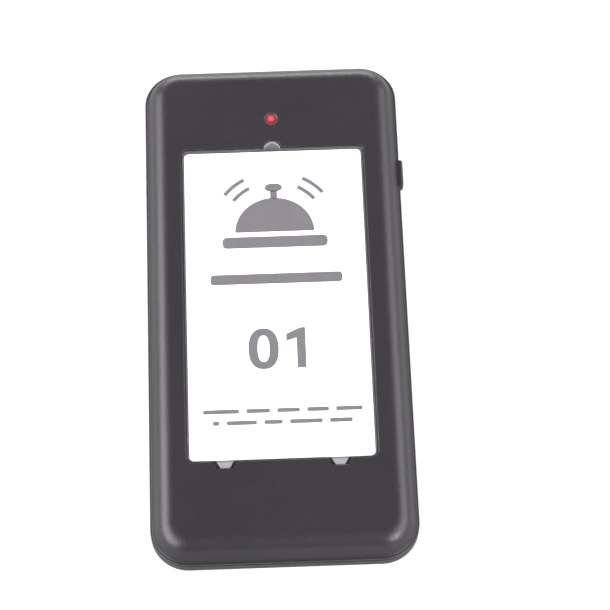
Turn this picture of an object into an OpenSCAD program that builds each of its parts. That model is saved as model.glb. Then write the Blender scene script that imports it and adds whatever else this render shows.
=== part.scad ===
// Slim guest pager, lying on its back: a two-piece case, a clear window over a
// numbered card, a side button, and the parts that make it shake and flash.
// The origin is at the centre of the back face. +Z comes out of the front
// face, +Y points to the lamp end and +X is the side with the button.

/* [Case] */
// Width across the seam lip
case_w = 56; // [55:0.5:60]
// Length across the seam lip
case_l = 116; // [114:1:122]
// Thickness from back face to front face
case_t = 8.6; // [8.4:0.1:9.4]
// Radius of the four corners in plan
corner_r = 8; // [7.5:0.5:10]
// Height of the rear cover's outer wall
rear_wall_h = 2.8; // [2.6:0.1:2.9]
// Height of the groove between the covers
groove_h = 0.3; // [0.2:0.05:0.4]
// Height of the front cover's lip above the groove
lip_h = 0.7; // [0.6:0.05:0.8]
// Width of the ledge between the lip and the sloped side
ledge_w = 0.5; // [0.4:0.05:0.6]
// Radius of the round-over between the front face and the sloped side
dome_r = 4; // [3.6:0.1:4.2]
// Angle of the sloped side above the ledge, from the horizontal
dome_slope = 65; // [62:1:72]
// Thickness of the rear cover's floor
floor_t = 1.2; // [1:0.1:1.3]
// Thickness of the front cover's shell
shell_t = 1.3; // [1.2:0.05:1.4]

/* [Card and window] */
// Width of the clear window
window_w = 39.5; // [37:0.1:40]
// Length of the clear window without its tabs
window_l = 72.7; // [69:0.1:73]
// How far the window's middle lies from the case's middle
window_y = -0.5; // [-1:0.1:0]
// Thickness of the clear window
window_t = 1.0; // [0.8:0.05:1]
// Gap between the window and its pocket
window_gap = 0.35; // [0.3:0.05:0.4]
// How far the card stays inside the window's edge
card_inset = 0.3; // [0.2:0.05:0.4]
// Thickness of the printed card
card_t = 0.2; // [0.15:0.05:0.2]
// Radius of the round tab at the lamp end
round_tab_r = 1.75; // [1.6:0.05:1.9]
// Reach of the two tabs at the other end
end_tab_reach = 1.7; // [1.5:0.05:1.9]
// Distance of those two tabs from the middle
end_tab_x = 12; // [10:0.5:14]

/* [Lamp and button] */
// Distance of the lamp from the middle of the case
lamp_y = 43.3; // [42.5:0.1:45]
// Diameter of the lamp's light pipe
lamp_d = 2.1; // [1.8:0.1:2.2]
// Distance of the button from the middle of the case
button_y = 31.5; // [28:0.5:34]
// Length of the button along the side
button_l = 6.1; // [5:0.1:7]
// How far the button stands out of the wall
button_reach = 0.8; // [0.6:0.1:1]
// How far the button is pressed
button_travel = 0.4; // [0.3:0.05:0.4]

/* [Inside] */
// Width of the battery pouch
cell_w = 34; // [30:1:34]
// Length of the battery pouch
cell_l = 40; // [36:1:40]
// Thickness of the battery pouch
cell_t = 3.4; // [2.8:0.1:3.6]
// Diameter of the vibration motor
motor_d = 4; // [3.6:0.1:4]
// Length of the vibration motor's case
motor_l = 9; // [8:0.5:9]
// Radius of the motor's off-centre weight
weight_r = 2.6; // [2.2:0.1:2.6]
// Distance between the two charging contacts
contact_pitch = 10; // [8:0.5:11]

/* [Hidden] */
$fn = 48;
eps = 0.01;

// Heights of the seam, measured from the back face
lip_z = rear_wall_h + groove_h;
ledge_z = lip_z + lip_h;
dome_z = case_t - dome_r;
slope_cut = 0.01;
dome_centre = corner_r - ledge_w - dome_base(dome_r);
ceiling_z = case_t - shell_t;

// The rear cover's tongue stands inside the front cover's lip
tongue_inset = 0.75;
tongue_t = 0.7;
tongue_z = ledge_z - 0.05;
tongue_gap = 0.03;
inner_inset = tongue_inset + tongue_t;
back_edge_r = 0.5;

// Pocket for the card and the window, with the plate under it
pocket_w = window_w + 2 * window_gap;
pocket_l = window_l + 2 * window_gap;
pocket_z = case_t - window_t - 0.05 - card_t;
plate_z = pocket_z - 1.05;
plate_rim = 2.2;
window_r = 1;
end_tab_w = 3.7;
end_tab_tip_w = 1.8;
end_notch_w = 5.2;
end_notch_tip_w = 3.5;
notch_gap = 0.2;

// Button, its slot and its inner flange
button_z = 0.5;
button_top_z = ledge_z - 0.15;
button_slot_l = button_l + 1;
button_slot_z = 0.35;
button_chamfer = 0.35;
wall_x = case_w / 2 - inner_inset;
flange_t = 0.75;
flange_l = button_slot_l + 1.4;
flange_x = wall_x - 0.05 - flange_t;
flange_z = floor_t + 0.1;

// Circuit board
board_z = 1.6;
board_t = 0.8;
board_top = board_z + board_t;
board_w = 48;
board_y0 = -0.5;
board_y1 = 51;
board_hole_d = 5;

// Case screws: one pair beside the battery and one pair through the board
screw_spots = [[22.6, -38], [-22.6, -38], [20.5, 46.5], [-20.5, 46.5]];
boss_d = 4.4;
boss_split_z = 3.4;
screw_d = 2;
screw_head_d = 3.6;
screw_head_h = 0.8;
screw_l = 6.1;
screw_start_z = 0.08;
post_spots = [[21.8, 9], [-21.8, 9]];
post_d = 3;

// Side-push switch at the edge of the board
switch_l = 4.7;
switch_w = 3.5;
switch_h = 1.65;
plunger_w = 2.2;
plunger_h = 0.9;
plunger_z = board_top + 0.35;
plunger_x1 = flange_x - 0.05;
plunger_x0 = plunger_x1 - 1.25;
switch_x1 = plunger_x1 - 0.9;

// Battery
pad_t = 0.35;
cell_z = floor_t + pad_t;
cell_y1 = -6;
cell_y0 = cell_y1 - cell_l;

// Vibration motor, lying across the foot of the case
motor_y = -50.5;
motor_z = 4.2;
motor_x1 = -10.4;
motor_x0 = motor_x1 - motor_l;
motor_wall_z = 4;
sleeve_d = motor_d + 1;
sleeve_l = 5.4;
sleeve_x = motor_x0 + 1.8;
shaft_d = 0.8;
shaft_bore_d = 0.9;
shaft_bore_l = 2.2;
weight_l = 3.5;
weight_x = motor_x0 - 0.5 - weight_l;

// Charging contacts on the back and the small board over them
contact_y = -50.5;
contact_d = 4;
contact_t = 0.3;
contact_stem_d = 1.6;
charge_board_z = 1.9;
charge_board_t = 0.8;
charge_board_w = 15;
charge_board_l = 6;

// Helical antenna at the lamp end
coil_y = 53.2;
coil_z = 4.6;
coil_r = 1.6;
coil_wire_d = 0.6;
coil_pitch = 1.6;
coil_turns = 13;
coil_x = -10.4;
coil_steps = 12;

// Held wires: hand-chosen points that a smooth curve passes through
wire_d = 0.8;
wire_sides = 8;
wire_steps = 4;
battery_red_route = [
    [8.4, -3.9, 3.7], [8.6, -2.6, 3.9], [9.5, -1.4, 4.1], [10.6, -0.3, 4.1], [10.8, 0.6, 4],
    [10.8, 1.29, 4]
];
battery_black_route = [
    [11.4, -3.9, 3.7], [11.6, -2.6, 3.9], [12.1, -1.4, 4.1], [12.5, -0.3, 4.1], [12.5, 0.6, 4],
    [12.5, 1.29, 4]
];
motor_red_route = [
    [-10.38, -49.9, 4.9], [-9.9, -49.9, 4.9], [-8.8, -49, 4.6], [-9.6, -47.5, 4],
    [-12, -46.95, 3.4],
    [-16, -46.95, 3.2], [-17.7, -46, 3], [-18.1, -43.5, 2.6], [-18.1, -39, 2], [-18.1, -20, 2],
    [-18.2, -6, 2.1], [-18.3, -1.6, 2.9], [-18.3, 0.4, 3.2], [-18.3, 1.6, 2.9]
];
motor_blue_route = [
    [-10.38, -50.9, 3.6], [-9.9, -50.9, 3.6], [-8.9, -50.2, 3], [-9.2, -48.2, 2.3],
    [-11.5, -46.95, 2.1],
    [-16, -46.95, 2.1], [-18.4, -46.4, 2], [-19.2, -44, 2], [-19.2, -20, 2],
    [-19.3, -6, 2.1], [-19.4, -1.6, 2.9], [-19.4, 0.4, 3.2], [-19.4, 1.6, 2.9]
];
charge_red_route = [
    [6.2, -51.8, 3.15], [9, -51.4, 3.1], [14, -49.6, 2.6], [17.8, -47.4, 2.1],
    [19.1, -44.5, 2], [19.1, -20, 2], [19.3, -6, 2.1],
    [19.5, -1.6, 2.9], [19.5, 0.4, 3.2], [19.5, 1.6, 2.9]
];
charge_black_route = [
    [6.2, -49.3, 3.15], [9, -48.6, 3.1], [13, -47.4, 2.6], [16.4, -46.7, 2.2],
    [17.9, -44.5, 2], [18, -20, 2], [18.2, -6, 2.1],
    [18.4, -1.6, 2.9], [18.4, 0.4, 3.2], [18.4, 1.6, 2.9]
];
coil_feed_route = [
    [-11.6, 48.8, 2.75], [-11.6, 50.6, 2.75], [-11.5, 52.6, 2.7], [-11.2, 54.2, 3.1]
];

// ---- Shared shapes ----

// Rounded rectangle centred on the origin
module rounded_outline(w, l, r) {
    square([w - 2 * r, l], center = true);
    square([w, l - 2 * r], center = true);
    for (x = [-1, 1], y = [-1, 1]) {
        translate([x * (w / 2 - r), y * (l / 2 - r)]) circle(r);
    }
}

// Rounded slab between two heights
module rounded_slab(w, l, r, z0, z1) {
    translate([0, 0, z0]) linear_extrude(z1 - z0) rounded_outline(w, l, r);
}

// Box given by its lowest and highest corners
module box(low, high) {
    translate(low) cube(high - low);
}

// Slab whose edge follows a profile. The profile's x runs outwards from the
// centre of the corner arc and its y is the height.
module profiled_slab(w, l, r, z0, z1) {
    x = w / 2 - r;
    y = l / 2 - r;
    for (turn = [0, 180]) {
        rotate(turn) {
            translate([x, y, 0]) rotate_extrude(angle = 90) children();
            translate([-x, y, 0]) rotate(90) rotate_extrude(angle = 90) children();
            translate([x, y, 0]) rotate([90, 0, 0]) linear_extrude(2 * y) children();
            rotate(90) translate([y, x, 0]) rotate([90, 0, 0]) linear_extrude(2 * x) children();
        }
    }
    box([-x, -y, z0], [x, y, z1]);
}

// Quarter disc with its centre at (x, y)
module quarter_disc(x, y, r) {
    translate([x, y]) {
        intersection() {
            circle(r, $fn = 64);
            square(r);
        }
    }
}

function unit(v) = v / norm(v);

// Direction of a path at one of its points
function heading(path, i) = unit(path[min(i + 1, len(path) - 1)] - path[max(i - 1, 0)]);

// Smooth curve through hand-chosen points: each stretch leaves and arrives
// along the path's direction at its ends
function stretch(a, b, leave, arrive, t) =
    a * (1 + 2 * t) * (1 - t) * (1 - t) + b * t * t * (3 - 2 * t)
    + norm(b - a) * (leave * t * (1 - t) * (1 - t) - arrive * t * t * (1 - t));
function smooth_route(p) = [
    for (i = [0 : len(p) - 2], s = [0 : wire_steps - 1])
        stretch(p[i], p[i + 1], heading(p, i), heading(p, i + 1), s / wire_steps),
    p[len(p) - 1]
];

// Ring of points round a path
function ring(path, i, d, up) =
    let (
        ahead = heading(path, i),
        side = unit(cross(ahead, up)),
        top = cross(side, ahead)
    )
    [
        for (k = [0 : wire_sides - 1])
            path[i] + d / 2 * (cos(360 * k / wire_sides) * side + sin(360 * k / wire_sides) * top)
    ];

// Round tube swept along a path
module swept_tube(path, d, up = [0, 0, 1]) {
    n = wire_sides;
    last = len(path) - 1;
    points = [for (i = [0 : last], p = ring(path, i, d, up)) p];
    walls = [
        for (i = [0 : last - 1], k = [0 : n - 1], half = [0, 1])
            let (a = i * n + k, b = i * n + (k + 1) % n)
            half == 0 ? [a, b, b + n] : [a, b + n, a + n]
    ];
    start_cap = [for (k = [0 : n - 1]) n - 1 - k];
    end_cap = [for (k = [0 : n - 1]) last * n + k];
    polyhedron(points, concat(walls, [start_cap, end_cap]), convexity = 6);
}

// ---- Front cover ----

// Reach of the domed edge at the ledge, for a round-over of radius r
function dome_base(r) =
    (r - slope_cut) / sin(dome_slope) + (dome_z - ledge_z) / tan(dome_slope);

// Round-over of radius r, cut by the sloped side just inside its tangent
module dome_profile(r) {
    shoulder_z = dome_z + r * cos(dome_slope);
    peak_z = case_t + 1;
    base = dome_base(r);
    translate([dome_centre, 0]) {
        intersection() {
            union() {
                translate([0, dome_z]) circle(r, $fn = 64);
                translate([0, ledge_z]) square([base + 1, shoulder_z - ledge_z]);
            }
            polygon([
                [0, ledge_z], [base, ledge_z],
                [base - (peak_z - ledge_z) / tan(dome_slope), peak_z], [0, peak_z]
            ]);
        }
    }
}

module front_outer_profile() {
    translate([0, lip_z]) square([corner_r, lip_h]);
    translate([0, lip_z]) square([dome_centre, case_t - lip_z]);
    dome_profile(dome_r);
}

module front_inner_profile() {
    rabbet_x = corner_r - tongue_inset + tongue_gap;
    translate([0, lip_z - eps]) square([rabbet_x, tongue_z - lip_z + eps]);
    translate([0, lip_z]) square([dome_centre + dome_base(dome_r - shell_t), lip_h]);
    translate([0, lip_z]) square([dome_centre, ceiling_z - lip_z]);
    dome_profile(dome_r - shell_t);
}

// Outline of the window with its tabs, grown by a gap
module window_outline(gap) {
    rounded_outline(window_w + 2 * gap, window_l + 2 * gap, window_r + gap);
}

// One round tab and two tapered ones, or the notches they lie in
module tab_outlines(round_r, base_w, tip_w, reach) {
    overlap = 0.5;
    translate([0, window_l / 2]) {
        intersection() {
            circle(round_r);
            translate([-5, -overlap]) square([10, 10]);
        }
    }
    for (x = [-1, 1]) {
        translate([x * end_tab_x, -window_l / 2]) {
            polygon([
                [-base_w / 2, overlap], [base_w / 2, overlap], [base_w / 2, 0],
                [tip_w / 2, -reach], [-tip_w / 2, -reach], [-base_w / 2, 0]
            ]);
        }
    }
}

module button_slot() {
    box([flange_x - 0.1 + flange_t - button_travel, button_y - button_slot_l / 2, button_slot_z],
        [case_w, button_y + button_slot_l / 2, ledge_z]);
}

module front_cover() {
    color([0.15, 0.145, 0.155]) {
        difference() {
            union() {
                difference() {
                    profiled_slab(case_w, case_l, corner_r, lip_z, case_t) front_outer_profile();
                    profiled_slab(case_w, case_l, corner_r, lip_z - eps, ceiling_z)
                        front_inner_profile();
                }
                translate([0, window_y, 0]) {
                    rounded_slab(pocket_w + 2 * plate_rim,
                        pocket_l + 2 * plate_rim + 2 * end_tab_reach,
                        2, plate_z, ceiling_z + 0.1);
                }
                for (s = screw_spots) {
                    translate([s.x, s.y, boss_split_z])
                        cylinder(h = ceiling_z - boss_split_z + 0.1, d = boss_d);
                }
                for (s = post_spots) {
                    translate([s.x, s.y, board_top])
                        cylinder(h = ceiling_z - board_top + 0.1, d = post_d);
                }
                translate([0, lamp_y, ceiling_z - 0.9]) cylinder(h = 1, d = lamp_d + 3);
            }
            translate([0, window_y, pocket_z]) {
                linear_extrude(case_t) window_outline(window_gap);
                linear_extrude(case_t) {
                    tab_outlines(round_tab_r + notch_gap, end_notch_w, end_notch_tip_w,
                        end_tab_reach + notch_gap);
                }
            }
            translate([0, lamp_y, ceiling_z - 2]) cylinder(h = 6, d = lamp_d + 0.12);
            translate([0, lamp_y, case_t - 0.3])
                cylinder(h = 0.6, d1 = lamp_d + 0.12, d2 = lamp_d + 1.32);
            for (s = screw_spots) {
                translate([s.x, s.y, boss_split_z - 1]) cylinder(h = 4.1, d = screw_d + 0.06);
            }
            button_slot();
        }
    }
}

// ---- Rear cover ----

module rear_outer_profile() {
    translate([0, back_edge_r]) square([corner_r, rear_wall_h - back_edge_r]);
    square([corner_r - back_edge_r, back_edge_r + eps]);
    translate([corner_r - back_edge_r, back_edge_r]) {
        intersection() {
            circle(back_edge_r, $fn = 64);
            translate([0, -back_edge_r]) square(back_edge_r);
        }
    }
}

module motor_cradle() {
    for (x = [sleeve_x + 0.2, sleeve_x + sleeve_l - 1.2]) {
        box([x, motor_y - 3.4, floor_t - 0.2], [x + 1, motor_y + 3.1, motor_wall_z]);
    }
}

module rear_cover() {
    color([0.15, 0.145, 0.155]) {
        difference() {
            union() {
                difference() {
                    union() {
                        profiled_slab(case_w, case_l, corner_r, 0, rear_wall_h)
                            rear_outer_profile();
                        rounded_slab(case_w - 2 * tongue_inset, case_l - 2 * tongue_inset,
                            corner_r - tongue_inset, rear_wall_h - 0.5, tongue_z);
                    }
                    rounded_slab(case_w - 2 * inner_inset, case_l - 2 * inner_inset,
                        corner_r - inner_inset, floor_t, case_t);
                }
                for (s = screw_spots) {
                    translate([s.x, s.y, floor_t - 0.2])
                        cylinder(h = boss_split_z - floor_t + 0.2, d = boss_d);
                }
                for (s = [screw_spots[2], screw_spots[3]]) {
                    translate([s.x, s.y, floor_t - 0.2])
                        cylinder(h = board_z - floor_t + 0.2, d = boss_d + 2.4);
                }
                for (s = post_spots) {
                    translate([s.x, s.y, floor_t - 0.2])
                        cylinder(h = board_z - floor_t + 0.2, d = post_d + 0.6);
                }
                motor_cradle();
            }
            for (s = screw_spots) {
                translate([s.x, s.y, -1]) cylinder(h = case_t, d = screw_d + 0.2);
                translate([s.x, s.y, -eps])
                    cylinder(h = screw_head_h + 0.1, d1 = screw_head_d + 0.3, d2 = screw_d + 0.2);
            }
            for (x = [-1, 1]) {
                translate([x * contact_pitch / 2, contact_y, -1]) {
                    cylinder(h = 4, d = contact_stem_d + 0.1);
                    cylinder(h = 1.06 + contact_t, d = contact_d + 0.2);
                }
            }
            translate([sleeve_x - 1, motor_y, motor_z]) rotate([0, 90, 0])
                cylinder(h = sleeve_l + 2, d = sleeve_d + 0.04);
            button_slot();
        }
    }
}

// ---- Window, card, lamp and button ----

module card_window() {
    color([0.9, 0.93, 0.95, 0.35]) {
        translate([0, window_y, case_t - window_t]) {
            linear_extrude(window_t) window_outline(0);
            linear_extrude(window_t) {
                tab_outlines(round_tab_r, end_tab_w, end_tab_tip_w, end_tab_reach);
            }
        }
    }
}

module number_card() {
    color([0.97, 0.97, 0.97]) {
        translate([0, window_y, 0]) {
            rounded_slab(window_w - 2 * card_inset, window_l - 2 * card_inset, window_r,
                pocket_z, pocket_z + card_t);
        }
    }
}

module light_pipe() {
    crown_r = 3;
    pipe_z = board_top + 0.85;
    color([0.85, 0.12, 0.12]) {
        intersection() {
            translate([0, lamp_y, pipe_z]) {
                cylinder(h = case_t - pipe_z, d = lamp_d);
                translate([0, 0, ceiling_z - 1.6 - pipe_z]) cylinder(h = 0.7, d = lamp_d + 1.6);
            }
            translate([0, lamp_y, case_t - crown_r]) {
                sphere(crown_r, $fn = 96);
                translate([0, 0, -case_t]) cylinder(h = case_t, r = crown_r);
            }
        }
    }
}

module power_button() {
    x1 = case_w / 2 + button_reach;
    color([0.17, 0.165, 0.175]) {
        difference() {
            union() {
                box([flange_x + flange_t, button_y - button_l / 2, button_z],
                    [x1, button_y + button_l / 2, button_top_z]);
                box([flange_x, button_y - flange_l / 2, flange_z],
                    [flange_x + flange_t, button_y + flange_l / 2, button_top_z - 0.1]);
            }
            for (side = [-1, 1]) {
                translate([x1, button_y + side * button_l / 2, 0]) rotate(45)
                    cube([button_chamfer * sqrt(2), button_chamfer * sqrt(2), 20], center = true);
            }
            for (z = [button_z, button_top_z]) {
                translate([x1, button_y, z]) rotate([0, 45, 0])
                    cube([button_chamfer * sqrt(2), 20, button_chamfer * sqrt(2)], center = true);
            }
        }
    }
}

// ---- Circuit board and the parts on it ----

module circuit_board() {
    color([0.06, 0.32, 0.18]) {
        difference() {
            translate([0, (board_y0 + board_y1) / 2, 0])
                rounded_slab(board_w, board_y1 - board_y0, 1.5, board_z, board_top);
            for (s = [screw_spots[2], screw_spots[3]]) {
                translate([s.x, s.y, 0]) cylinder(h = case_t, d = board_hole_d);
            }
        }
    }
}

module tact_switch() {
    color([0.75, 0.75, 0.76]) {
        difference() {
            box([switch_x1 - switch_w, button_y - switch_l / 2, board_top],
                [switch_x1, button_y + switch_l / 2, board_top + switch_h]);
            box([plunger_x0 - button_travel - 0.06, button_y - plunger_w / 2 - 0.06,
                    plunger_z - 0.06],
                [switch_x1 + 1, button_y + plunger_w / 2 + 0.06, plunger_z + plunger_h + 0.06]);
        }
        for (y = [-1, 1]) {
            translate([switch_x1 - switch_w / 2, button_y + y * (switch_l / 2 + 0.3),
                    board_top + 0.1])
                cube([1.6, 0.6, 0.2], center = true);
        }
    }
}

module switch_plunger() {
    color([0.1, 0.1, 0.1]) {
        box([plunger_x0, button_y - plunger_w / 2, plunger_z],
            [plunger_x1, button_y + plunger_w / 2, plunger_z + plunger_h]);
    }
}

module indicator_led() {
    color([0.95, 0.3, 0.25]) {
        translate([0, lamp_y, board_top + 0.15]) cube([2, 1.25, 0.3], center = true);
        translate([0, lamp_y, board_top + 0.5]) cube([1.3, 1.1, 0.4], center = true);
    }
}

// Chip with gull-wing legs on two or four sides, standing on the board
module leaded_chip(x, y, w, l, h, legs, four_sided) {
    leg_w = 0.3;
    leg_pitch = 0.8;
    translate([x, y, board_top]) {
        translate([0, 0, 0.1 + h / 2]) cube([w, l, h], center = true);
        for (turn = four_sided ? [0, 90, 180, 270] : [0, 180]) {
            half = (turn == 90 || turn == 270) ? l / 2 : w / 2;
            for (i = [0 : legs - 1]) {
                rotate(turn) translate([half, (i - (legs - 1) / 2) * leg_pitch, 0]) {
                    translate([0, -leg_w / 2, h / 2]) cube([0.4, leg_w, 0.15]);
                    translate([0.3, -leg_w / 2, 0]) cube([0.15, leg_w, h / 2 + 0.15]);
                    translate([0.3, -leg_w / 2, 0]) cube([0.6, leg_w, 0.15]);
                }
            }
        }
    }
}

module microcontroller() {
    color([0.12, 0.12, 0.13]) leaded_chip(4, 19, 7, 7, 1.4, 8, true);
}

module radio_chip() {
    color([0.1, 0.1, 0.11]) leaded_chip(-6, 38, 4, 4, 0.9, 4, true);
}

module crystal_can() {
    color([0.78, 0.78, 0.8]) {
        translate([-12.5, 38, 0]) rounded_slab(3.2, 5, 1, board_top, board_top + 1.1);
        translate([-12.5, 38, 0]) rounded_slab(3.8, 5.6, 1.2, board_top, board_top + 0.25);
    }
}

module charge_chip() {
    color([0.12, 0.12, 0.13]) leaded_chip(14, 14, 3.9, 4.9, 1.4, 4, false);
}

module voltage_regulator() {
    color([0.12, 0.12, 0.13]) leaded_chip(14, 22.5, 1.6, 2.9, 1, 3, false);
}

module drive_transistors() {
    color([0.12, 0.12, 0.13]) {
        leaded_chip(-15, 5, 1.4, 2.9, 1, 2, false);
        leaded_chip(-9, 5, 1.4, 2.9, 1, 2, false);
    }
}

module chip_capacitors() {
    color([0.72, 0.56, 0.38]) {
        for (y = [26, 28.4, 30.8]) {
            translate([8, y, board_top + 0.4]) cube([1.6, 0.8, 0.8], center = true);
        }
        for (x = [-4, -1, 2]) {
            translate([x, 8, board_top + 0.4]) cube([0.8, 1.6, 0.8], center = true);
        }
        translate([17.5, 19, board_top + 0.8]) cube([1.6, 3.2, 1.6], center = true);
    }
}

module chip_resistors() {
    color([0.16, 0.16, 0.18]) {
        for (y = [26, 28.4, 30.8, 33.2]) {
            translate([4, y, board_top + 0.25]) cube([1.6, 0.8, 0.5], center = true);
        }
        for (x = [-13, -10.6, -8.2]) {
            translate([x, 10.5, board_top + 0.25]) cube([0.8, 1.6, 0.5], center = true);
        }
        translate([3.2, lamp_y, board_top + 0.25]) cube([0.8, 1.6, 0.5], center = true);
    }
}

module buzzer() {
    color([0.1, 0.1, 0.1]) {
        difference() {
            translate([-12, 22, 0]) rounded_slab(9, 9, 0.6, board_top, board_top + 1.9);
            translate([-12, 22, board_top + 1.2]) cylinder(h = 2, d = 1.6);
        }
    }
}

module antenna_coil() {
    turns = coil_turns * coil_steps;
    path = [
        for (i = [0 : turns])
            [
                coil_x + coil_pitch * i / coil_steps,
                coil_y + coil_r * cos(360 * i / coil_steps),
                coil_z + coil_r * sin(360 * i / coil_steps)
            ]
    ];
    color([0.8, 0.5, 0.3]) {
        swept_tube(concat(smooth_route(coil_feed_route), path), coil_wire_d, [1, 0, 0]);
    }
}

module battery_socket() {
    color([0.93, 0.92, 0.86]) {
        difference() {
            box([8.5, 2.2, board_top], [14.5, 7, board_top + 3]);
            box([9, 1, board_top + 0.4], [14, 5.8, board_top + 2.6]);
        }
    }
}

module battery_plug() {
    color([0.95, 0.94, 0.9]) {
        box([9.1, 1.3, board_top + 0.5], [13.9, 5.6, board_top + 2.5]);
    }
}

// ---- Battery ----

module battery_cell() {
    corner = 2;
    edge = cell_t / 2 - 0.2;
    color([0.75, 0.76, 0.78]) {
        translate([0, (cell_y0 + cell_y1) / 2, cell_z]) {
            profiled_slab(cell_w, cell_l, corner, 0, cell_t) {
                square([corner - edge, cell_t]);
                translate([corner - edge, edge]) square([edge, cell_t - 2 * edge]);
                quarter_disc(corner - edge, cell_t - edge, edge);
                translate([0, cell_t]) mirror([0, 1])
                    quarter_disc(corner - edge, cell_t - edge, edge);
            }
        }
    }
}

module battery_protection_board() {
    color([0.08, 0.3, 0.2]) {
        box([-13, cell_y1 + 0.2, cell_z + 1], [13, cell_y1 + 3.2, cell_z + 1.75]);
    }
}

module battery_tape() {
    tape_t = 0.08;
    tape_x1 = 6.5;
    color([0.85, 0.55, 0.12]) {
        box([-cell_w / 2 + 2, cell_y1 - 6, cell_z + cell_t],
            [tape_x1, cell_y1 + 3.6, cell_z + cell_t + tape_t]);
        box([-cell_w / 2 + 2, cell_y1 + 3.6 - tape_t, cell_z + 0.4],
            [tape_x1, cell_y1 + 3.6, cell_z + cell_t]);
    }
}

module battery_pad() {
    color([0.93, 0.93, 0.9]) box([-12, cell_y0 + 4, floor_t], [12, cell_y1 - 4, floor_t + pad_t]);
}

module battery_lead_red() {
    color([0.8, 0.08, 0.06]) swept_tube(smooth_route(battery_red_route), wire_d);
}

module battery_lead_black() {
    color([0.08, 0.08, 0.08]) swept_tube(smooth_route(battery_black_route), wire_d);
}

// ---- Vibration motor ----

module motor_case() {
    color([0.76, 0.76, 0.78]) {
        translate([motor_x0, motor_y, motor_z]) rotate([0, 90, 0]) {
            difference() {
                cylinder(h = motor_l, d = motor_d);
                translate([0, 0, -1]) cylinder(h = 1 + shaft_bore_l, d = shaft_bore_d);
            }
        }
    }
}

module motor_weight() {
    hub_d = 1.7;
    color([0.6, 0.6, 0.62]) {
        translate([weight_x, motor_y, motor_z]) rotate([0, 90, 0]) {
            cylinder(h = weight_l, d = hub_d);
            cylinder(h = weight_l + 0.5 + shaft_bore_l - 0.2, d = shaft_d);
            intersection() {
                cylinder(h = weight_l, r = weight_r);
                translate([0, -weight_r, 0]) cube([weight_r, 2 * weight_r, weight_l]);
            }
        }
    }
}

module motor_sleeve() {
    color([0.2, 0.2, 0.21]) {
        translate([sleeve_x, motor_y, motor_z]) rotate([0, 90, 0]) {
            difference() {
                cylinder(h = sleeve_l, d = sleeve_d);
                translate([0, 0, -1]) cylinder(h = sleeve_l + 2, d = motor_d + 0.02);
            }
        }
    }
}

module motor_leads() {
    color([0.75, 0.1, 0.08]) swept_tube(smooth_route(motor_red_route), wire_d - 0.1);
    color([0.1, 0.2, 0.65]) swept_tube(smooth_route(motor_blue_route), wire_d - 0.1);
}

// ---- Charging ----

module charge_board() {
    color([0.06, 0.32, 0.18]) {
        translate([0, contact_y, 0])
            rounded_slab(charge_board_w, charge_board_l, 0.8, charge_board_z,
                charge_board_z + charge_board_t);
    }
}

module charge_contacts() {
    color([0.86, 0.68, 0.32]) {
        for (x = [-1, 1]) {
            translate([x * contact_pitch / 2, contact_y, 0.05]) {
                cylinder(h = contact_t, d = contact_d);
                cylinder(h = charge_board_z - 0.05, d = contact_stem_d);
            }
        }
    }
}

module charge_leads() {
    color([0.75, 0.1, 0.08]) swept_tube(smooth_route(charge_red_route), wire_d);
    color([0.08, 0.08, 0.08]) swept_tube(smooth_route(charge_black_route), wire_d);
}

// ---- Screws ----

module case_screws() {
    color([0.55, 0.55, 0.57]) {
        for (s = screw_spots) {
            translate([s.x, s.y, screw_start_z]) {
                difference() {
                    union() {
                        cylinder(h = screw_head_h, d1 = screw_head_d, d2 = screw_d);
                        cylinder(h = screw_l, d = screw_d);
                    }
                    for (turn = [0, 90]) {
                        rotate(turn) cube([0.45, 2.1, 1], center = true);
                    }
                }
            }
        }
    }
}

front_cover();
rear_cover();
card_window();
number_card();
light_pipe();
power_button();
circuit_board();
tact_switch();
switch_plunger();
indicator_led();
microcontroller();
radio_chip();
crystal_can();
charge_chip();
voltage_regulator();
drive_transistors();
chip_capacitors();
chip_resistors();
buzzer();
antenna_coil();
battery_socket();
battery_plug();
battery_lead_red();
battery_lead_black();
battery_cell();
battery_protection_board();
battery_tape();
battery_pad();
motor_case();
motor_weight();
motor_sleeve();
motor_leads();
charge_board();
charge_contacts();
charge_leads();
case_screws();
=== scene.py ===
"""Looks of a slim guest pager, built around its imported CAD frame.

The pager lies on its back on a pale floor. The moulded covers, the button and
the clear window are copies of the CAD shells with their edges rounded. The
card's print and the foam pad are modelled here, and the motor's and the
charging contacts' wires are copies of their CAD nodes with a colour each.
Every other node keeps its CAD shape and gets a better material.
"""

import math

import bmesh
import bpy
from mathutils import Matrix, Vector


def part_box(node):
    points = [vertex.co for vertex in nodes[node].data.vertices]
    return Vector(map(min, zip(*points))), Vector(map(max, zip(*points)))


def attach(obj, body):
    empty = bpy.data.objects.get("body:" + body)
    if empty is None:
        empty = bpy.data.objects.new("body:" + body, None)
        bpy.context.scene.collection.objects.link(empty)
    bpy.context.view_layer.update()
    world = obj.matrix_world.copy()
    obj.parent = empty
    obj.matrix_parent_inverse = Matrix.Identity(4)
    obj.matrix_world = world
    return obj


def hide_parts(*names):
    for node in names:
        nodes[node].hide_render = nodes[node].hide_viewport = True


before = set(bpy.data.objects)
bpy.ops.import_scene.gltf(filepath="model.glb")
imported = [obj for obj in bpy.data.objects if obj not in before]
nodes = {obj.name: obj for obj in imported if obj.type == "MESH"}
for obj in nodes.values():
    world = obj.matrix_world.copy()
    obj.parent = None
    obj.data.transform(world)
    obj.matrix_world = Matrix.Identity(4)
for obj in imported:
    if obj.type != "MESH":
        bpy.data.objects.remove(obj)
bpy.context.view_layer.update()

MM = 0.001


# ---------------------------------------------------------------- camera

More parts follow.
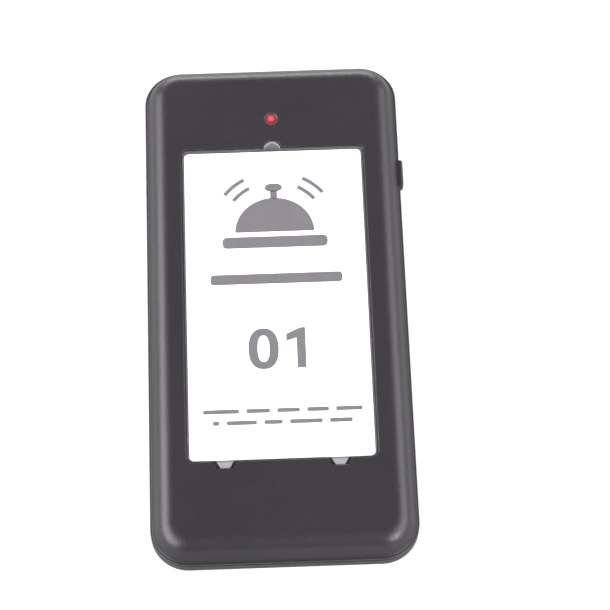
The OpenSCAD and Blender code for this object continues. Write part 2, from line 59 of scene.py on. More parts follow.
SENSOR_MM = 36.0
LENS_MM = 147.84
VIEW_AZIMUTH = math.radians(-1.946)
VIEW_ELEVATION = math.radians(65.754)
VIEW_ROLL = math.radians(-0.132)
VIEW_DISTANCE = 543.94 * MM
VIEW_RIGHT = 5.967 * MM
VIEW_UP = 1.745 * MM


def make_camera():
    """A long lens that looks down on the front face from the foot of the pager."""
    flat = math.cos(VIEW_ELEVATION)
    back = Vector((
        math.sin(VIEW_AZIMUTH) * flat,
        -math.cos(VIEW_AZIMUTH) * flat,
        math.sin(VIEW_ELEVATION),
    ))
    level_right = (-back).cross(Vector((0, 0, 1))).normalized()
    level_up = level_right.cross(-back)
    right = math.cos(VIEW_ROLL) * level_right + math.sin(VIEW_ROLL) * level_up
    up = -math.sin(VIEW_ROLL) * level_right + math.cos(VIEW_ROLL) * level_up
    place = back * VIEW_DISTANCE + right * VIEW_RIGHT + up * VIEW_UP
    data = bpy.data.cameras.new("camera")
    data.sensor_width = SENSOR_MM
    data.lens = LENS_MM
    data.clip_start = 0.01
    data.clip_end = 20
    camera = bpy.data.objects.new("camera", data)
    turn = Matrix((right, up, back)).transposed().to_4x4()
    camera.matrix_world = Matrix.Translation(place) @ turn
    bpy.context.scene.collection.objects.link(camera)
    bpy.context.scene.camera = camera


# ---------------------------------------------------------------- light and floor

WALL_COLOUR = (1.0, 0.96, 1.02, 1)
WALL_STRENGTH = 0.56
SOFTBOX_COLOUR = (1, 0.965, 1.01)
SOFTBOX_DISTANCE = 0.9
# Name, direction, width and height in metres, radiance
SOFTBOXES = (
    ("strip_left", (-0.85, -0.14, 0.5), (1.5, 0.68), 8.8),
    ("strip_right", (0.85, -0.14, 0.5), (1.5, 0.68), 5.0),
    ("strip_back", (0.0, 0.97, 0.2), (0.9, 0.26), 10.0),
    ("corner_right", (0.61, -0.71, 0.36), (0.34, 0.3), 15.0),
)
FLOOR_HALF = 3.0
FLOOR_DROP = 0.02 * MM


def make_softbox(name, direction, size, radiance):
    """A soft panel that faces the pager."""
    data = bpy.data.lights.new(name, "AREA")
    data.shape = "RECTANGLE"
    data.size, data.size_y = size
    data.energy = math.pi * size[0] * size[1] * radiance
    data.color = SOFTBOX_COLOUR
    light = bpy.data.objects.new(name, data)
    towards = Vector(direction).normalized()
    light.location = towards * SOFTBOX_DISTANCE
    light.rotation_euler = towards.to_track_quat("Z", "Y").to_euler()
    bpy.context.scene.collection.objects.link(light)


def make_studio():
    """Pale walls, a low strip light on each side and behind the lamp end, and one near a foot corner."""
    world = bpy.data.worlds.new("studio")
    world.use_nodes = True
    walls = world.node_tree.nodes["Background"]
    walls.inputs["Color"].default_value = WALL_COLOUR
    walls.inputs["Strength"].default_value = WALL_STRENGTH
    bpy.context.scene.world = world
    for name, direction, size, radiance in SOFTBOXES:
        make_softbox(name, direction, size, radiance)
    bpy.context.scene.view_settings.view_transform = "Standard"


def make_floor():
    """A white table top, just far enough below the pager's back that the two faces don't meet."""
    mesh = bpy.data.meshes.new("floor")
    signs = ((-1, -1), (1, -1), (1, 1), (-1, 1))
    corners = [(x * FLOOR_HALF, y * FLOOR_HALF, -FLOOR_DROP) for x, y in signs]
    mesh.from_pydata(corners, [], [(0, 1, 2, 3)])
    floor = bpy.data.objects.new("floor", mesh)
    bpy.context.scene.collection.objects.link(floor)
    floor.data.materials.append(floor_paper())


# ---------------------------------------------------------------- node helpers

def new_material(name):
    """A material and its Principled shader."""
    made = bpy.data.materials.new(name)
    made.use_nodes = True
    return made, made.node_tree.nodes["Principled BSDF"]


def feed(made, socket, value):
    """Gives an input a plain value, or links another node's output to it."""
    if isinstance(value, bpy.types.NodeSocket):
        made.node_tree.links.new(value, socket)
    else:
        socket.default_value = value


def set_inputs(made, node, inputs):
    """Feeds a node's inputs, which are given by name or by number."""
    for key, value in inputs.items():
        feed(made, node.inputs[key], value)


def add(made, kind, inputs=None, **settings):
    """A new node with its settings and inputs."""
    node = made.node_tree.nodes.new(kind)
    for key, value in settings.items():
        setattr(node, key, value)
    set_inputs(made, node, inputs or {})
    return node


def place_of(made, stretch=(1, 1, 1)):
    """The point on the surface, in metres in the pager's frame."""
    where = add(made, "ShaderNodeTexCoord").outputs["Object"]
    if stretch == (1, 1, 1):
        return where
    return add(made, "ShaderNodeMapping", {"Vector": where, "Scale": stretch}).outputs["Vector"]


def noise(made, size_mm, detail=3.0, stretch=(1, 1, 1)):
    """Cloudy noise whose features are about size_mm across."""
    inputs = {"Vector": place_of(made, stretch), "Scale": 1 / (size_mm * MM), "Detail": detail}
    return add(made, "ShaderNodeTexNoise", inputs).outputs["Fac"]


def cells(made, size_mm, feature="F1"):
    """The distance to the middle of the nearest cell, for cells about size_mm across."""
    inputs = {"Vector": place_of(made), "Scale": 1 / (size_mm * MM)}
    return add(made, "ShaderNodeTexVoronoi", inputs, feature=feature).outputs["Distance"]


def remap(made, value, low, high, to_low, to_high):
    """value from low..high to to_low..to_high, clamped."""
    inputs = {"Value": value, "From Min": low, "From Max": high, "To Min": to_low, "To Max": to_high}
    return add(made, "ShaderNodeMapRange", inputs).outputs["Result"]


def spread(made, value, to_low, to_high):
    """The usual range of a noise, 0.3 to 0.7, to to_low..to_high."""
    return remap(made, value, 0.3, 0.7, to_low, to_high)


def blend_colour(made, factor, first, second):
    """A colour between two colours, or between two colour outputs."""
    node = add(made, "ShaderNodeMix", data_type="RGBA")
    for key, value in (("Factor", factor), ("A", first), ("B", second)):
        socket = next(s for s in node.inputs if s.name == key and s.enabled)
        feed(made, socket, (*value, 1) if isinstance(value, tuple) else value)
    return next(s for s in node.outputs if s.enabled)


def relief(made, height, depth_mm, normal=None):
    """A bump of that depth, on a normal that may be bent already."""
    inputs = {"Height": height, "Distance": depth_mm * MM, "Strength": 1.0}
    if normal is not None:
        inputs["Normal"] = normal
    return add(made, "ShaderNodeBump", inputs).outputs["Normal"]


def maths(made, operation, first, second=0.0):
    """A maths node on two values."""
    return add(made, "ShaderNodeMath", {0: first, 1: second}, operation=operation).outputs[0]


def vector_maths(made, operation, first, second=(0, 0, 0), output="Vector"):
    """A maths node on two vectors."""
    inputs = {0: first, 1: second}
    return add(made, "ShaderNodeVectorMath", inputs, operation=operation).outputs[output]


def split(made, vector):
    """The X, Y and Z of a vector."""
    return add(made, "ShaderNodeSeparateXYZ", {"Vector": vector}).outputs


def distance_from(made, axis):
    """How far a point is from a vertical axis, in metres."""
    offset = vector_maths(made, "SUBTRACT", place_of(made), axis)
    level = vector_maths(made, "MULTIPLY", offset, (1, 1, 0))
    return vector_maths(made, "LENGTH", level, output="Value")


def inside_box(made, centre, half):
    """1 inside a box given in mm, else 0."""
    offset = vector_maths(made, "SUBTRACT", place_of(made), [v * MM for v in centre])
    size = vector_maths(made, "ABSOLUTE", offset)
    beyond = split(made, vector_maths(made, "SUBTRACT", size, [v * MM for v in half]))
    worst = maths(made, "MAXIMUM", maths(made, "MAXIMUM", beyond["X"], beyond["Y"]), beyond["Z"])
    return maths(made, "LESS_THAN", worst, 0.0)


# ---------------------------------------------------------------- outer materials

BLACK_DARK = (0.0075, 0.006975, 0.0081)
BLACK_LIGHT = (0.009375, 0.008625, 0.009975)
EDGE_SHADE_RADIUS = 0.15 * MM
# Painted lamp light: the LED's red glow is painted on the face between these distances from its axis.
SPILL_INNER = 0.95 * MM
SPILL_OUTER = 2.0 * MM
SPILL_STRENGTH = 0.24
TAB_REACH = 1.6 * MM
TAB_BLEND = 0.3 * MM


def surface(name, dark, light, rough, patch_mm=4.0, grain_mm=0.2, depth_mm=0.004,
            metallic=0.0, stretch=(1, 1, 1)):
    """A plain worked surface: two close colours in soft patches, uneven gloss and fine grain."""
    made, shader = new_material(name)
    patches = noise(made, patch_mm)
    fine = noise(made, grain_mm, 2.0, stretch)
    set_inputs(made, shader, {
        "Base Color": blend_colour(made, spread(made, patches, 0, 1), dark, light),
        "Roughness": spread(made, fine, *rough),
        "Normal": relief(made, fine, depth_mm),
        "Metallic": metallic,
    })
    return made


def floor_paper():
    """White paper that glows a little, so that shadows stay faint; from below it isn't seen.

    It glows less towards the object than towards the camera, which keeps the case's low walls dark.
    """
    made = surface("floor_paper", (0.24, 0.24, 0.24), (0.26, 0.26, 0.26), (0.75, 0.9), 60, 2, 0.02)
    shader = made.node_tree.nodes["Principled BSDF"]
    glow = spread(made, noise(made, 80.0), 0.73, 0.75)
    seen = add(made, "ShaderNodeLightPath").outputs["Is Camera Ray"]
    share = remap(made, seen, 0, 1, 0.6, 1)
    set_inputs(made, shader, {
        "Emission Color": (1, 1, 1, 1),
        "Emission Strength": maths(made, "MULTIPLY", glow, share),
    })
    below = add(made, "ShaderNodeNewGeometry").outputs["Backfacing"]
    through = add(made, "ShaderNodeBsdfTransparent").outputs[0]
    either = add(made, "ShaderNodeMixShader", {0: below, 1: shader.outputs[0], 2: through})
    set_inputs(made, made.node_tree.nodes["Material Output"], {"Surface": either.outputs[0]})
    return made


def moulded_black(name, rough, ior=1.47, lamp=None):
    """Black ABS with a fine leather-like mould grain; round a lamp's axis it gets a painted red glow, the
    lamp's light painted on the plastic.
    """
    made, shader = new_material(name)
    pebbles = cells(made, 0.42, "SMOOTH_F1")
    wrinkles = noise(made, 0.3, 4.0)
    height = maths(made, "ADD", maths(made, "MULTIPLY", pebbles, 0.6), wrinkles)
    patches = remap(made, noise(made, 22.0), 0.35, 0.65, 0, 1)
    round_edges = add(made, "ShaderNodeBevel", {"Radius": EDGE_SHADE_RADIUS}, samples=4).outputs[0]
    set_inputs(made, shader, {
        "Base Color": blend_colour(made, patches, BLACK_DARK, BLACK_LIGHT),
        "Roughness": spread(made, wrinkles, *rough),
        "Normal": relief(made, height, 0.03, round_edges),
        "IOR": ior,
    })
    if lamp is not None:
        # Painted light: the lamp's red glow on the plastic, as emission that fades with distance from the
        # lamp's axis.
        nearness = remap(made, distance_from(made, lamp), SPILL_INNER, SPILL_OUTER, 1, 0)
        spill = maths(made, "MULTIPLY", maths(made, "POWER", nearness, 1.8), SPILL_STRENGTH)
        set_inputs(made, shader, {"Emission Color": (1.0, 0.02, 0.04, 1), "Emission Strength": spill})
    return made


def clear_acrylic():
    """Clear acrylic: see-through on its faces; painted light makes the window's tabs whitish, and a
    painted highlight and reflection make its edges, most of all the tabs' edges, and its grazing faces
    whitish.
    """
    made, shader = new_material("clear_acrylic")
    low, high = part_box("card_window")
    ripple = noise(made, 9.0, 1.0)
    normal = add(made, "ShaderNodeTexCoord").outputs["Normal"]
    flat = maths(made, "ABSOLUTE", split(made, normal)["Z"])
    along = split(made, place_of(made))["Y"]
    at_foot = remap(made, along, low.y + TAB_REACH, low.y + TAB_REACH - TAB_BLEND, 0, 1)
    at_lamp_end = remap(made, along, high.y - TAB_REACH, high.y - TAB_REACH + TAB_BLEND, 0, 1)
    # Painted highlight: the edges are made whitish and less see-through; the long cut edges get little of
    # it and look dark against the black pocket, and the tabs' edges get all of it.
    edge = remap(made, flat, 0.97, 0.6, 0, 1)
    edge_off_tabs = maths(made, "SUBTRACT", edge, maths(made, "MAXIMUM", at_foot, at_lamp_end))
    dimming = remap(made, edge_off_tabs, 0, 1, 1, 0.2)
    facing = add(made, "ShaderNodeLayerWeight", {"Blend": 0.5}).outputs["Facing"]
    # Painted reflection: grazing faces are made whitish and less see-through.
    painted_reflection = maths(made, "POWER", facing, 5.0)
    painted_edge_highlight = remap(made, flat, 0.97, 0.6, 0.035, 0.3)
    painted_sheen = maths(made, "MULTIPLY", maths(made, "MAXIMUM", painted_edge_highlight, painted_reflection), dimming)
    # Painted light: the clear tabs are made whitish, more at the foot than at the lamp end.
    painted_foot_tab_light = maths(made, "MULTIPLY", at_foot, 0.17)
    painted_lamp_end_tab_light = maths(made, "MULTIPLY", at_lamp_end, 0.08)
    painted_tab_light = maths(made, "MAXIMUM", painted_foot_tab_light, painted_lamp_end_tab_light)
    tone = spread(made, ripple, 0, 1)
    set_inputs(made, shader, {
        "Base Color": blend_colour(made, tone, (0.66, 0.65, 0.68), (0.72, 0.71, 0.74)),
        "Roughness": spread(made, ripple, 0.03, 0.08),
        "Normal": relief(made, ripple, 0.002),
        "Alpha": maths(made, "MAXIMUM", painted_sheen, painted_tab_light),
        "IOR": 1.49,
    })
    return made


def card_paper():
    """White card."""
    return surface("card_paper", (0.86, 0.86, 0.86), (0.9, 0.9, 0.9), (0.5, 0.65), 6, 0.12, 0.003)


def print_ink():
    """Dark grey ink."""
    return surface("print_ink", (0.06, 0.0585, 0.062), (0.07, 0.068, 0.072), (0.4, 0.6), 2, 0.1, 0.002)


def lamp_red(axis):
    """A lit red lens: hottest on its axis, deep red towards its rim."""
    made, shader = new_material("lamp_red")
    speckle = spread(made, noise(made, 0.15, 2.0), 0.94, 1.06)
    centre = remap(made, distance_from(made, axis), 0.12 * MM, 1.05 * MM, 1, 0)
    heat = maths(made, "MULTIPLY", centre, speckle)
    set_inputs(made, shader, {
        "Base Color": blend_colour(made, heat, (0.06, 0.003, 0.005), (0.1, 0.006, 0.01)),
        "Emission Color": blend_colour(made, heat, (0.2, 0.012, 0.02), (1.0, 0.12, 0.18)),
        "Emission Strength": remap(made, heat, 0, 1, 0.6, 0.95),
        "Roughness": 0.35,
    })
    return made


# ---------------------------------------------------------------- inner materials

# A small part's skins: dark colour, light colour, roughness
TIN = ((0.62, 0.61, 0.58), (0.74, 0.73, 0.7), 0.34)
EPOXY = ((0.02, 0.02, 0.022), (0.034, 0.034, 0.036), 0.55)
CERAMIC = ((0.42, 0.27, 0.14), (0.5, 0.33, 0.18), 0.5)
RED_LENS = ((0.8, 0.08, 0.06), (0.9, 0.14, 0.1), 0.25)

WIRE_RED = (0.55, 0.02, 0.015)
WIRE_BLACK = (0.025, 0.025, 0.027)
WIRE_BLUE = (0.02, 0.06, 0.4)


def chip_skin(name, boxes, skin):
    """A small part whose body, inside the boxes, has its own skin, and whose ends or legs are tinned."""
    made, shader = new_material(name)
    body = inside_box(made, *boxes[0])
    for box in boxes[1:]:
        body = maths(made, "MAXIMUM", body, inside_box(made, *box))
    fine = noise(made, 0.25, 3.0)
    tone = spread(made, fine, 0, 1)
    tinned = blend_colour(made, tone, TIN[0], TIN[1])
    plain = blend_colour(made, tone, skin[0], skin[1])
    gloss = remap(made, body, 0, 1, TIN[2], skin[2])
    set_inputs(made, shader, {
        "Base Color": blend_colour(made, body, tinned, plain),
        "Roughness": maths(made, "ADD", gloss, spread(made, fine, -0.06, 0.06)),
        "Metallic": remap(made, body, 0, 1, 1, 0),
        "Normal": relief(made, fine, 0.006),
    })
    return made


def solder_mask():
    """Green solder mask with straight tracks in two layers and tinned holes."""
    made, shader = new_material("board_green")
    layers = []
    for turn, pitch_mm, gate_mm in ((0.0, 1.1, 5.0), (math.pi / 2, 1.3, 6.5)):
        turned = add(made, "ShaderNodeMapping", {"Vector": place_of(made), "Rotation": (0, 0, turn)})
        lines = add(made, "ShaderNodeTexBrick", {
            "Vector": turned.outputs["Vector"], "Scale": 1 / (pitch_mm * MM),
            "Mortar Size": 0.1, "Mortar Smooth": 0.2, "Brick Width": 7.0, "Row Height": 1.0,
        })
        kept = remap(made, noise(made, gate_mm), 0.49, 0.51, 0, 1)
        layers.append(maths(made, "MULTIPLY", lines.outputs["Fac"], kept))
    tracks = maths(made, "MAXIMUM", *layers)
    hole = remap(made, cells(made, 3.1), 0.12, 0.14, 1, 0)
    tone = spread(made, noise(made, 7.0), 0, 1)
    mask = blend_colour(made, tone, (0.006, 0.062, 0.026), (0.009, 0.08, 0.034))
    lined = blend_colour(made, tracks, mask, (0.016, 0.125, 0.055))
    set_inputs(made, shader, {
        "Base Color": blend_colour(made, hole, lined, (0.7, 0.68, 0.62)),
        "Metallic": hole,
        "Roughness": spread(made, noise(made, 0.5), 0.28, 0.4),
        "Normal": relief(made, maths(made, "MAXIMUM", tracks, hole), 0.02),
    })
    return made


def pouch_foil():
    """Aluminium pouch laminate: satin silver with slack dents."""
    made, shader = new_material("pouch_foil")
    dents = noise(made, 7.0, 2.0)
    fibres = noise(made, 0.3, 2.0, (1, 12, 1))
    tone = spread(made, dents, 0, 1)
    set_inputs(made, shader, {
        "Base Color": blend_colour(made, tone, (0.66, 0.67, 0.69), (0.78, 0.79, 0.8)),
        "Roughness": spread(made, fibres, 0.3, 0.42),
        "Normal": relief(made, fibres, 0.003, relief(made, dents, 0.25)),
        "Metallic": 0.9,
    })
    return made


def amber_tape():
    """Polyimide tape: glossy amber film with a few wrinkles."""
    made, shader = new_material("amber_tape")
    folds = noise(made, 2.6, 2.0, (1, 0.3, 1))
    tone = spread(made, folds, 0, 1)
    set_inputs(made, shader, {
        "Base Color": blend_colour(made, tone, (0.5, 0.2, 0.02), (0.68, 0.33, 0.045)),
        "Roughness": spread(made, folds, 0.15, 0.28),
        "Normal": relief(made, folds, 0.05),
        "Coat Weight": 0.6,
    })
    return made


def foam_white():
    """White open-cell foam, darker in the pits of its pores as painted shade."""
    made, shader = new_material("foam_white")
    pores = cells(made, 0.28)
    # Painted shade: the colour is darker towards each pore's middle, where the bump makes a pit.
    tone = remap(made, pores, 0.1, 0.6, 0, 1)
    set_inputs(made, shader, {
        "Base Color": blend_colour(made, tone, (0.62, 0.61, 0.57), (0.86, 0.85, 0.81)),
        "Roughness": spread(made, noise(made, 2.0), 0.85, 0.97),
        "Normal": relief(made, pores, 0.06),
    })
    return made


def wire_skin(name, colour):
    """Soft PVC insulation."""
    shade = tuple(v * 0.85 for v in colour)
    return surface(name, shade, colour, (0.38, 0.5), 3.0, 0.3, 0.005)


def metal(name, dark, light, rough, stretch=(1, 1, 1)):
    """Bare metal with fine, even tool marks."""
    return surface(name, dark, light, rough, 2.5, 0.12, 0.002, 1.0, stretch)


# ---------------------------------------------------------------- mesh helpers

SHARP_ANGLE = math.radians(35)
ROUNDING_SEGMENTS = 2


def add_piece(name, bm, body, paint):
    """An object from a bmesh, in the pager's frame, that moves with a body."""
    mesh = bpy.data.meshes.new(name)
    bm.to_mesh(mesh)
    bm.free()
    piece = bpy.data.objects.new(name, mesh)
    bpy.context.scene.collection.objects.link(piece)
    piece.data.materials.append(paint)
    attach(piece, body)
    return piece


def soften(node, piece_name, body, paint, edge_mm):
    """A copy of a CAD node whose sharp edges are rounded."""
    bm = bmesh.new()
    bm.from_mesh(nodes[node].data)
    bmesh.ops.remove_doubles(bm, verts=bm.verts, dist=2e-6)
    bmesh.ops.dissolve_limit(
        bm, angle_limit=math.radians(0.2), verts=bm.verts, edges=bm.edges, delimit=set()
    )
    triangles = [f for f in bm.faces if len(f.verts) == 3]
    bmesh.ops.join_triangles(
        bm, faces=triangles,
        angle_face_threshold=math.radians(2), angle_shape_threshold=math.radians(60),
    )
    for face in bm.faces:
        face.smooth = True
        face.material_index = 0
    piece = add_piece(piece_name, bm, body, paint)
    bevel = piece.modifiers.new("rounded_edges", "BEVEL")
    bevel.limit_method = "ANGLE"
    bevel.angle_limit = SHARP_ANGLE
    bevel.width = edge_mm * MM
    bevel.segments = ROUNDING_SEGMENTS
    bevel.use_clamp_overlap = False
    normals = piece.modifiers.new("face_normals", "WEIGHTED_NORMAL")
    normals.mode = "FACE_AREA"
    normals.weight = 100
    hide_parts(node)
    return piece


def paint_node(node, paint):
    """Gives a CAD node that keeps its shape a better material."""
    data = nodes[node].data
    data.materials.clear()
    data.materials.append(paint)


# ---------------------------------------------------------------- printed card

INK_THICKNESS = 0.02 * MM


def extrude_loop(bm, loop, z):
    """A thin flat solid from a closed outline of (x, y) in mm."""
    low = [bm.verts.new((x * MM, y * MM, z)) for x, y in loop]
    high = [bm.verts.new((x * MM, y * MM, z + INK_THICKNESS)) for x, y in loop]
    bm.faces.new(list(reversed(low)))
    bm.faces.new(high)
    count = len(loop)
    for i in range(count):
        j = (i + 1) % count
        bm.faces.new((low[i], low[j], high[j], high[i]))


def extrude_ring(bm, outer, inner, z, closed=True):
    """A thin flat solid between two outlines with the same number of points."""
    top = z + INK_THICKNESS
    rows = [
        [bm.verts.new((x * MM, y * MM, height)) for x, y in loop]
        for loop, height in ((outer, z), (inner, z), (inner, top), (outer, top))
    ]
    count = len(outer)
    for i in range(count if closed else count - 1):
        j = (i + 1) % count
        for a in range(4):
            b = (a + 1) % 4
            bm.faces.new((rows[b][i], rows[b][j], rows[a][j], rows[a][i]))
    if not closed:
        bm.faces.new([row[0] for row in reversed(rows)])
        bm.faces.new([row[-1] for row in rows])


def arc(cx, cy, rx, ry, start, end, count):
    """Points on an ellipse's arc, in degrees."""
    angles = [math.radians(start + (end - start) * i / (count - 1)) for i in range(count)]
    return [(cx + rx * math.cos(a), cy + ry * math.sin(a)) for a in angles]


def oval(cx, cy, rx, ry, squareness, count=72):
    """A rounded closed outline between an ellipse (2) and a rectangle (large)."""
    points = []
    for i in range(count):
        a = 2 * math.pi * i / count
        c, s = math.cos(a), math.sin(a)
        x = math.copysign(abs(c) ** (2 / squareness), c)
        y = math.copysign(abs(s) ** (2 / squareness), s)
        points.append((cx + rx * x, cy + ry * y))
    return points


def bar(x0, x1, y0, y1, r):
    """A bar with rounded corners, as a closed outline."""
    centres = ((x1 - r, y0 + r), (x1 - r, y1 - r), (x0 + r, y1 - r), (x0 + r, y0 + r))
    points = []
    for (cx, cy), start in zip(centres, (-90, 0, 90, 180)):
        points += arc(cx, cy, r, r, start, start + 90, 7)
    return points


def print_digits(z, paint):
    """A bold 0 and a bold 1."""
    mid_y, half_h = -11.57, 4.72
    top = mid_y + half_h
    foot = mid_y - half_h + 0.1
    zero_x = -3.24
    stem_left, stem_right = 3.85, 5.75
    flag_left = 1.65
    bm = bmesh.new()
    zero = oval(zero_x, mid_y, 3.23, half_h, 2.35)
    hole = oval(zero_x, mid_y, 1.27, 3.07, 2.3)
    extrude_ring(bm, zero, hole, z)
    one = [
        (stem_left, foot), (stem_right, foot), (stem_right, top), (stem_right - 1, top),
        (flag_left, top - 1.4), (flag_left, top - 3.05), (stem_left, top - 2.35),
    ]
    extrude_loop(bm, one, z)
    return add_piece("print_number", bm, "case", paint)


def print_bell(z, paint):
    """A plain service bell with two pairs of sound arcs."""
    base = bar(-11.4, 11.4, 12.2, 14.9, 1.0)
    dome = arc(0, 16.0, 8.6, 8.2, 0, 180, 41)
    stem = bar(-0.75, 0.75, 24.0, 26.0, 0.3)
    knob = oval(0, 26.7, 1.9, 1.0, 2.3, 32)
    sound_y, half_line, sweep = 16.8, 0.45, 24
    bm = bmesh.new()
    for shape in (base, dome, stem, knob):
        extrude_loop(bm, shape, z)
    for start in (38, 180 - 38 - sweep):
        for radius in (11.2, 13.6):
            outer, inner = [
                arc(0, sound_y, r, r, start, start + sweep, 13)
                for r in (radius + half_line, radius - half_line)
            ]
            extrude_ring(bm, outer, inner, z, closed=False)
    return add_piece("print_bell", bm, "case", paint)


def print_rules(z, paint):
    """A heading bar and two rows of dashes, in place of words."""
    dash_h, gap = 0.95, 1.5
    rows = (
        (-16.4, -26.2, (7.6, 5.0, 4.8, 4.6, 5.6)),
        (-14.4, -28.8, (1.4, 6.4, 3.9, 6.9, 4.8)),
    )
    bm = bmesh.new()
    extrude_loop(bm, bar(-14.2, 14.2, 3.6, 6.0, 0.7), z)
    for x, y, lengths in rows:
        for length in lengths:
            extrude_loop(bm, bar(x, x + length, y, y + dash_h, 0.35), z)
            x += length + gap
    return add_piece("print_rules", bm, "case", paint)


def build_card():
    """The printed sheet under the window."""
    paint_node("number_card", card_paper())
    ink = print_ink()
    card_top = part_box("number_card")[1].z
    for draw in (print_digits, print_bell, print_rules):
        draw(card_top, ink)


# ---------------------------------------------------------------- case and lamp

def lamp_axis():
    """A point under the middle of the light pipe."""
    low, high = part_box("light_pipe")
    return ((low.x + high.x) / 2, (low.y + high.y) / 2, 0)


def build_case():
    """The two covers, the button and the window, with rounded edges."""
    front_black = moulded_black("moulded_black", (0.32, 0.45), lamp=lamp_axis())
    rear_black = moulded_black("rear_black", (0.36, 0.5), 1.38)
    front = soften("front_cover", "front_cover_moulding", "case", front_black, 0.18)
    rear = soften("rear_cover", "rear_cover_moulding", "case", rear_black, 0.18)
    smooth_black = moulded_black("button_black", (0.36, 0.48))
    button = soften("power_button", "button_cap", "button", smooth_black, 0.15)
    window = soften("card_window", "window_pane", "window", clear_acrylic(), 0.14)


def build_lamp():
    """The lit lens."""
    paint_node("light_pipe", lamp_red(lamp_axis()))


# ---------------------------------------------------------------- inside

def connected_faces(bm):
    """The mesh's faces, in one set for each separate solid."""
    left = set(bm.faces)
    solids = []
    while left:
        solid = set()
        edge = [left.pop()]
        while edge:
            face = edge.pop()
            solid.add(face)
            near = {other for side in face.edges for other in side.link_faces} & left
            left -= near
            edge.extend(near)
        solids.append(solid)
    return solids


def two_wires(node, piece_name, inner_paint, outer_paint):
    """A copy of a node that holds two wires; the inner one is nearer the pager's middle line."""
    bm = bmesh.new()
    bm.from_mesh(nodes[node].data)
    bmesh.ops.remove_doubles(bm, verts=bm.verts, dist=1e-6)
    wires = connected_faces(bm)
    from_middle = [abs(sum(f.calc_center_median().x for f in wire) / len(wire)) for wire in wires]
    inner = from_middle.index(min(from_middle))
    for i, wire in enumerate(wires):
        for face in wire:
            face.material_index = 0 if i == inner else 1
            face.smooth = True
    piece = add_piece(piece_name, bm, "case", inner_paint)
    piece.data.materials.append(outer_paint)
    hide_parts(node)
    return piece


def foam_pad():
    """The foam pad under the battery: soft rounded edges, sides a little drawn in and open pores."""
    low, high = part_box("battery_pad")
    mid = (low + high) / 2
    half = (high - low) / 2
    columns, rows = 37, 49
    bm = bmesh.new()
    sheets = []
    for side in (-1, 1):
        phase = 5.0 if side > 0 else 0.0
        sheet = []
        for i in range(columns):
            line = []
            for j in range(rows):
                u = 2 * i / (columns - 1) - 1
                v = 2 * j / (rows - 1) - 1
                x = half.x * u * (1 - 0.012 * v ** 8)
                y = half.y * v * (1 - 0.012 * u ** 8)
                rim = max(abs(u) ** 24, abs(v) ** 30)
                pore = 0.5 + 0.5 * math.sin(i * 12.9898 + j * 78.233 + phase)
                height = half.z * (1 - 0.45 * rim - 0.06 * pore)
                line.append(bm.verts.new((mid.x + x, mid.y + y, mid.z + side * height)))
            sheet.append(line)
        sheets.append(sheet)
    bottom, upper = sheets
    for i in range(columns - 1):
        for j in range(rows - 1):
            bm.faces.new((upper[i][j], upper[i + 1][j], upper[i + 1][j + 1], upper[i][j + 1]))
            bm.faces.new((bottom[i][j], bottom[i][j + 1], bottom[i + 1][j + 1], bottom[i + 1][j]))
    ring = [(i, 0) for i in range(columns)] + [(columns - 1, j) for j in range(1, rows)]
    ring += [(i, rows - 1) for i in range(columns - 2, -1, -1)]
    ring += [(0, j) for j in range(rows - 2, 0, -1)]
    for k, (i, j) in enumerate(ring):
        a, b = ring[(k + 1) % len(ring)]
        bm.faces.new((bottom[i][j], bottom[a][b], upper[a][b], upper[i][j]))
    for face in bm.faces:
        face.smooth = True
    pad = add_piece("foam_pad", bm, "case", foam_white())
    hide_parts("battery_pad")


def paint_boards():
    """The boards and what is soldered on the main one; sizes and places are in mm."""
    green = solder_mask()
    for node in ("circuit_board", "charge_board", "battery_protection_board"):
        paint_node(node, green)

    board_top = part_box("circuit_board")[1].z / MM
    # Node, material, size of a chip's body, where its bodies stand
    chips = (
        ("microcontroller", "chip_wide", (7, 7, 1.4), [(4, 19)]),
        ("radio_chip", "chip_radio", (4, 4, 0.9), [(-6, 38)]),
        ("charge_chip", "chip_charge", (3.9, 4.9, 1.4), [(14, 14)]),
        ("voltage_regulator", "chip_power", (1.6, 2.9, 1), [(14, 22.5)]),
        ("drive_transistors", "chip_drive", (1.4, 2.9, 1), [(-15, 5), (-9, 5)]),
    )
    for node, name, (width, length, height), places in chips:
        half = (width / 2 + 0.02, length / 2 + 0.02, height / 2 + 0.02)
        bodies = [((x, y, board_top + 0.1 + height / 2), half) for x, y in places]
        paint_node(node, chip_skin(name, bodies, EPOXY))

    column = [((8, y, board_top + 0.5), (0.45, 0.6, 1)) for y in (26, 28.4, 30.8)]
    row = [((x, 8, board_top + 0.5), (0.6, 0.45, 1)) for x in (-4, -1, 2)]
    tall = [((17.5, 19, board_top + 0.8), (1, 1.05, 1.2))]
    paint_node("chip_capacitors", chip_skin("capacitor_tan", column + row + tall, CERAMIC))
    column = [((4, y, board_top + 0.3), (0.5, 0.6, 1)) for y in (26, 28.4, 30.8, 33.2)]
    row = [((x, 10.5, board_top + 0.3), (0.6, 0.5, 1)) for x in (-13, -10.6, -8.2)]
    by_lamp = [((3.2, 43.3, board_top + 0.3), (0.6, 0.5, 1))]
    paint_node("chip_resistors", chip_skin("resistor_dark", column + row + by_lamp, EPOXY))
    lens = ((0, 43.3, board_top + 0.5), (0.68, 0.6, 1))
    paint_node("indicator_led", chip_skin("led_body", [lens], RED_LENS))


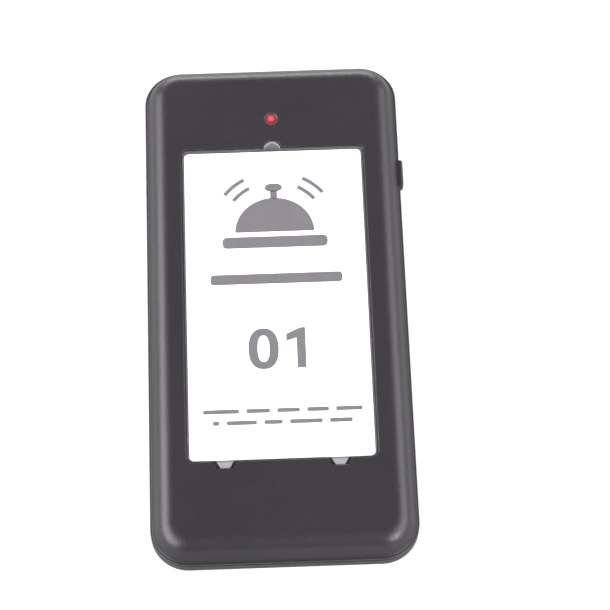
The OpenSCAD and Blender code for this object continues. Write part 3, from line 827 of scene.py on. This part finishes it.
def build_inside():
    """Materials for the parts that the case hides, and the pieces that replace some of them."""
    paint_boards()
    ivory = surface("connector_ivory", (0.7, 0.66, 0.54), (0.79, 0.76, 0.65), (0.35, 0.5), 2.0, 0.3, 0.004)
    skins = {
        "crystal_can": metal("can_steel", (0.66, 0.66, 0.68), (0.76, 0.76, 0.78), (0.22, 0.34)),
        "tact_switch": metal("switch_steel", (0.62, 0.62, 0.63), (0.74, 0.74, 0.75), (0.28, 0.42)),
        "switch_plunger": surface(
            "plunger_black", (0.02, 0.02, 0.02), (0.032, 0.032, 0.034), (0.4, 0.55)
        ),
        "buzzer": surface(
            "buzzer_black", (0.016, 0.016, 0.016), (0.028, 0.028, 0.03), (0.45, 0.62), 3.0, 0.15, 0.01
        ),
        "antenna_coil": metal("coil_copper", (0.55, 0.2, 0.07), (0.72, 0.31, 0.12), (0.2, 0.32)),
        "battery_socket": ivory,
        "battery_plug": ivory,
        "battery_lead_red": wire_skin("wire_red", WIRE_RED),
        "battery_lead_black": wire_skin("wire_black", WIRE_BLACK),
        "battery_cell": pouch_foil(),
        "battery_tape": amber_tape(),
        "motor_case": metal(
            "motor_steel", (0.62, 0.62, 0.64), (0.74, 0.74, 0.76), (0.2, 0.34), stretch=(6, 1, 1)
        ),
        "motor_weight": metal("weight_steel", (0.36, 0.36, 0.37), (0.46, 0.46, 0.47), (0.38, 0.52)),
        "motor_sleeve": surface(
            "sleeve_rubber", (0.02, 0.02, 0.02), (0.035, 0.035, 0.036), (0.6, 0.78), 2.0, 0.12, 0.012
        ),
        "charge_contacts": metal("contact_gold", (0.74, 0.5, 0.16), (0.86, 0.63, 0.25), (0.18, 0.32)),
        "case_screws": metal("screw_steel", (0.3, 0.3, 0.31), (0.42, 0.42, 0.43), (0.3, 0.45)),
    }
    for node, skin in skins.items():
        paint_node(node, skin)

    motor_red = wire_skin("wire_motor_red", WIRE_RED)
    motor_blue = wire_skin("wire_motor_blue", WIRE_BLUE)
    two_wires("motor_leads", "motor_wires", motor_red, motor_blue)
    charge_black = wire_skin("wire_charge_black", WIRE_BLACK)
    charge_red = wire_skin("wire_charge_red", WIRE_RED)
    two_wires("charge_leads", "charge_wires", charge_black, charge_red)
    foam_pad()


make_camera()
make_studio()
make_floor()
build_case()
build_card()
build_lamp()
build_inside()
